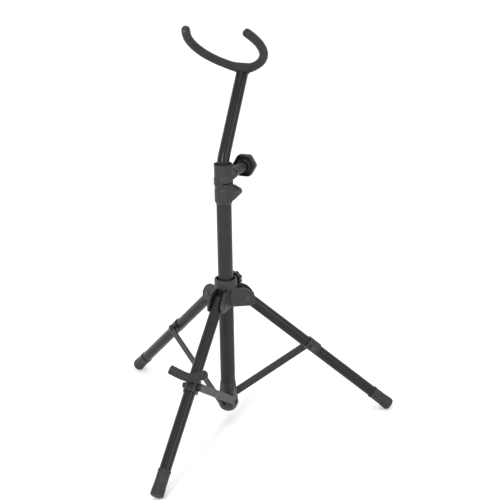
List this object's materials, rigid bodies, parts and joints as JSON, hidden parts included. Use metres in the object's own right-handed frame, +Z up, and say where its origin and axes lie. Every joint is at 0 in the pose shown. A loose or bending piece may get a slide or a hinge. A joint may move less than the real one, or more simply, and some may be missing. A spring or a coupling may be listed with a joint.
{
  "type": "saxophone stand",
  "caption": "Folding floor stand with a tripod base, a telescoping column, a leaning upper tube with a padded C-shaped yoke and a padded lower rest.",
  "frame": {"origin": "on the floor, under the middle of the bounding box of the open stand; the column's axis stands 70.0 mm behind it in +Y", "axes": "+Z up along the column; the front leg points along -Y and the yoke opens towards -Y; +X to the stand's own side where the clamp's lugs are"},
  "size_m": [0.5096, 0.4442, 0.6823],
  "materials": {
    "tube_paint": "semi-gloss black paint on steel tube",
    "bar_paint": "satin dark grey paint on pressed steel",
    "moulding": "satin moulded plastic",
    "bush": "smooth black plastic",
    "knob": "glossy black plastic",
    "fastener": "blackened steel",
    "rod_steel": "plain steel rod, hidden in its sleeve",
    "sleeve": "matte foam sleeve with fine grain",
    "cap": "slightly shiny soft plastic",
    "rubber_foot": "satin rubber"
  },
  "bodies": {
    "column": {"column_tube": "tube_paint", "base_hub": "moulding", "base_rivets": "fastener", "clamp_collar": "moulding", "collar_screw": "fastener", "collar_nut": "fastener", "clamp_nut": "fastener"},
    "knob": {"clamp_bolt": "fastener", "clamp_knob": "knob"},
    "swivel": {"clamp_bush": "bush"},
    "mast": {"upper_tube": "tube_paint", "tube_guide": "bush", "yoke_rod": "rod_steel", "yoke_sleeve": "sleeve", "yoke_caps": "cap"},
    "hub": {"leg_hub": "moulding", "hub_bush": "bush", "leg_rivets": "fastener"},
    "lock": {"lock_screw": "fastener", "lock_knob": "knob"},
    "front_leg": {"leg_front": "tube_paint", "foot_front": "rubber_foot", "saddle_front": "bar_paint", "joint_pin_front": "fastener", "rest_rod": "rod_steel", "rest_sleeve": "sleeve", "rest_caps": "cap"},
    "right_leg": {"leg_right": "tube_paint", "foot_right": "rubber_foot", "saddle_right": "bar_paint", "joint_pin_right": "fastener"},
    "left_leg": {"leg_left": "tube_paint", "foot_left": "rubber_foot", "saddle_left": "bar_paint", "joint_pin_left": "fastener"},
    "front_brace": {"brace_front": "bar_paint", "brace_stud_front": "fastener"},
    "right_brace": {"brace_right": "bar_paint", "brace_stud_right": "fastener"},
    "left_brace": {"brace_left": "bar_paint", "brace_stud_left": "fastener"}
  },
  "joints": [
    {"name": "hub_slide", "type": "slide", "parent": "column", "child": "hub", "axis": [0, 0, 1], "range_m": [0, 0.12744]},
    {"name": "leg_front_hinge", "type": "hinge", "parent": "hub", "child": "front_leg", "pos_m": [0, 0.03544, 0.22946], "axis": [1, 0, 0], "range_deg": [0, 48.52]},
    {"name": "leg_right_hinge", "type": "hinge", "parent": "hub", "child": "right_leg", "pos_m": [0.02989, 0.08721, 0.22946], "axis": [-0.5, 0.866, 0], "range_deg": [0, 48.52]},
    {"name": "leg_left_hinge", "type": "hinge", "parent": "hub", "child": "left_leg", "pos_m": [-0.02989, 0.08721, 0.22946], "axis": [-0.5, -0.866, 0], "range_deg": [0, 48.52]},
    {"name": "brace_front_hinge", "type": "hinge", "parent": "column", "child": "front_brace", "pos_m": [0, 0.06995, 0.039], "axis": [-1, 0, 0], "range_deg": [0, 46.33]},
    {"name": "brace_right_hinge", "type": "hinge", "parent": "column", "child": "right_brace", "pos_m": [0, 0.06995, 0.039], "axis": [0.5, -0.866, 0], "range_deg": [0, 46.33]},
    {"name": "brace_left_hinge", "type": "hinge", "parent": "column", "child": "left_brace", "pos_m": [0, 0.06995, 0.039], "axis": [0.5, 0.866, 0], "range_deg": [0, 46.33]},
    {"name": "lock_knob_turn", "type": "hinge", "parent": "hub", "child": "lock", "pos_m": [0, 0.06995, 0.25046], "axis": [0, 1, 0], "continuous": true},
    {"name": "clamp_knob_turn", "type": "hinge", "parent": "column", "child": "knob", "pos_m": [0.0225, 0.06995, 0.451], "axis": [0, 1, 0], "continuous": true},
    {"name": "mast_swivel", "type": "hinge", "parent": "column", "child": "swivel", "pos_m": [0, 0.06995, 0.428], "axis": [0, 0, 1], "continuous": true},
    {"name": "mast_slide", "type": "slide", "parent": "swivel", "child": "mast", "axis": [0, 0, 1], "range_m": [0, 0.15]}
  ],
  "couplings": [
    {"joint": "leg_front_hinge", "follows": "hub_slide", "rad_per_m": 6.6422},
    {"joint": "leg_right_hinge", "follows": "hub_slide", "rad_per_m": 6.6422},
    {"joint": "leg_left_hinge", "follows": "hub_slide", "rad_per_m": 6.6422},
    {"joint": "brace_front_hinge", "follows": "hub_slide", "rad_per_m": 6.3416},
    {"joint": "brace_right_hinge", "follows": "hub_slide", "rad_per_m": 6.3416},
    {"joint": "brace_left_hinge", "follows": "hub_slide", "rad_per_m": 6.3416}
  ]
}
